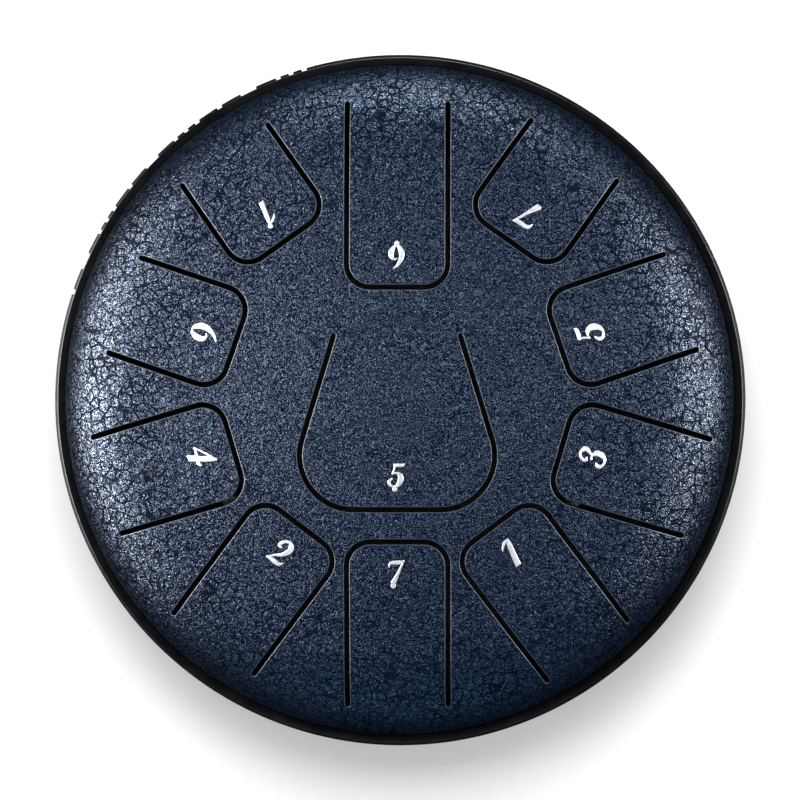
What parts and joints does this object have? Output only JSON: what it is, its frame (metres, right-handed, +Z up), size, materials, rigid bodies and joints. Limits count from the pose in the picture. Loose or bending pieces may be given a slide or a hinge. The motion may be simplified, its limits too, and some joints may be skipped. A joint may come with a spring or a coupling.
{
  "type": "steel tongue drum",
  "caption": "Small round steel tongue drum: two domed shells with a rubber-trimmed seam, tuned tongues cut in the playing face, numbered note labels and rubber feet.",
  "frame": {"origin": "middle of the footprint on the ground under the three feet", "axes": "+Z up through the playing face, +Y from the middle towards the low 6 tongue, +X towards the 3 and 5 tongues"},
  "size_m": [0.155, 0.155, 0.078],
  "materials": {
    "shell_paint": "navy powder coat with a wrinkled, leather-like texture and fine pale sparkle, satin",
    "label_metal": "bright raised metal stickers with softly bevelled edges",
    "trim_rubber": "smooth matt black moulded rubber",
    "foot_rubber": "matt black moulded rubber",
    "sealant": "matt cured adhesive",
    "zinc_steel": "bright zinc plate",
    "black_steel": "black oxide, satin",
    "nylon": "black nylon"
  },
  "bodies": {
    "drum": {"top_shell": "shell_paint", "seam_seal": "sealant", "edge_trim": "trim_rubber", "bottom_shell": "shell_paint", "foot_back": "foot_rubber", "foot_left": "foot_rubber", "foot_right": "foot_rubber", "foot_cup_washers": "zinc_steel", "foot_screws": "zinc_steel", "inner_washers": "nylon", "foot_nuts": "black_steel"},
    "note_low_5": {"tongue_low_5": "shell_paint", "label_low_5": "label_metal"},
    "note_low_6": {"tongue_low_6": "shell_paint", "label_low_6": "label_metal"},
    "note_low_7": {"tongue_low_7": "shell_paint", "label_low_7": "label_metal"},
    "note_1": {"tongue_1": "shell_paint", "label_1": "label_metal"},
    "note_2": {"tongue_2": "shell_paint", "label_2": "label_metal"},
    "note_3": {"tongue_3": "shell_paint", "label_3": "label_metal"},
    "note_4": {"tongue_4": "shell_paint", "label_4": "label_metal"},
    "note_5": {"tongue_5": "shell_paint", "label_5": "label_metal"},
    "note_6": {"tongue_6": "shell_paint", "label_6": "label_metal"},
    "note_7": {"tongue_7": "shell_paint", "label_7": "label_metal"},
    "note_high_1": {"tongue_high_1": "shell_paint", "label_high_1": "label_metal"}
  },
  "joints": [
    {"name": "note_low_5_flex", "type": "hinge", "parent": "drum", "child": "note_low_5", "pos_m": [0, 0.0142, 0.07689], "axis": [1, 0, 0], "range_deg": [-0.5, 0.5], "stiffness_Nm_per_rad": 130},
    {"name": "note_low_6_flex", "type": "hinge", "parent": "drum", "child": "note_low_6", "pos_m": [0, 0.0652, 0.06764], "axis": [1, 0, 0], "range_deg": [-0.5, 0.5], "stiffness_Nm_per_rad": 86},
    {"name": "note_low_7_flex", "type": "hinge", "parent": "drum", "child": "note_low_7", "pos_m": [0, -0.0675, 0.06565], "axis": [-1, 0, 0], "range_deg": [-0.5, 0.5], "stiffness_Nm_per_rad": 96},
    {"name": "note_1_flex", "type": "hinge", "parent": "drum", "child": "note_1", "pos_m": [0.04189, -0.05559, 0.06322], "axis": [-0.7986, -0.6018, 0], "range_deg": [-0.5, 0.5], "stiffness_Nm_per_rad": 100},
    {"name": "note_2_flex", "type": "hinge", "parent": "drum", "child": "note_2", "pos_m": [-0.04068, -0.05399, 0.06555], "axis": [-0.7986, 0.6018, 0], "range_deg": [-0.5, 0.5], "stiffness_Nm_per_rad": 107},
    {"name": "note_3_flex", "type": "hinge", "parent": "drum", "child": "note_3", "pos_m": [0.06578, -0.01948, 0.06447], "axis": [-0.284, -0.9588, 0], "range_deg": [-0.5, 0.5], "stiffness_Nm_per_rad": 112},
    {"name": "note_4_flex", "type": "hinge", "parent": "drum", "child": "note_4", "pos_m": [-0.06424, -0.01903, 0.06614], "axis": [-0.284, 0.9588, 0], "range_deg": [-0.5, 0.5], "stiffness_Nm_per_rad": 118},
    {"name": "note_5_flex", "type": "hinge", "parent": "drum", "child": "note_5", "pos_m": [0.06221, 0.02142, 0.06717], "axis": [0.3256, -0.9455, 0], "range_deg": [-0.5, 0.5], "stiffness_Nm_per_rad": 123},
    {"name": "note_6_flex", "type": "hinge", "parent": "drum", "child": "note_6", "pos_m": [-0.06014, 0.02071, 0.06872], "axis": [0.3256, 0.9455, 0], "range_deg": [-0.5, 0.5], "stiffness_Nm_per_rad": 133},
    {"name": "note_7_flex", "type": "hinge", "parent": "drum", "child": "note_7", "pos_m": [0.03889, 0.05493, 0.06585], "axis": [0.8161, -0.5779, 0], "range_deg": [-0.5, 0.5], "stiffness_Nm_per_rad": 146},
    {"name": "note_high_1_flex", "type": "hinge", "parent": "drum", "child": "note_high_1", "pos_m": [-0.0382, 0.05395, 0.06693], "axis": [0.8161, 0.5779, 0], "range_deg": [-0.5, 0.5], "stiffness_Nm_per_rad": 154}
  ]
}
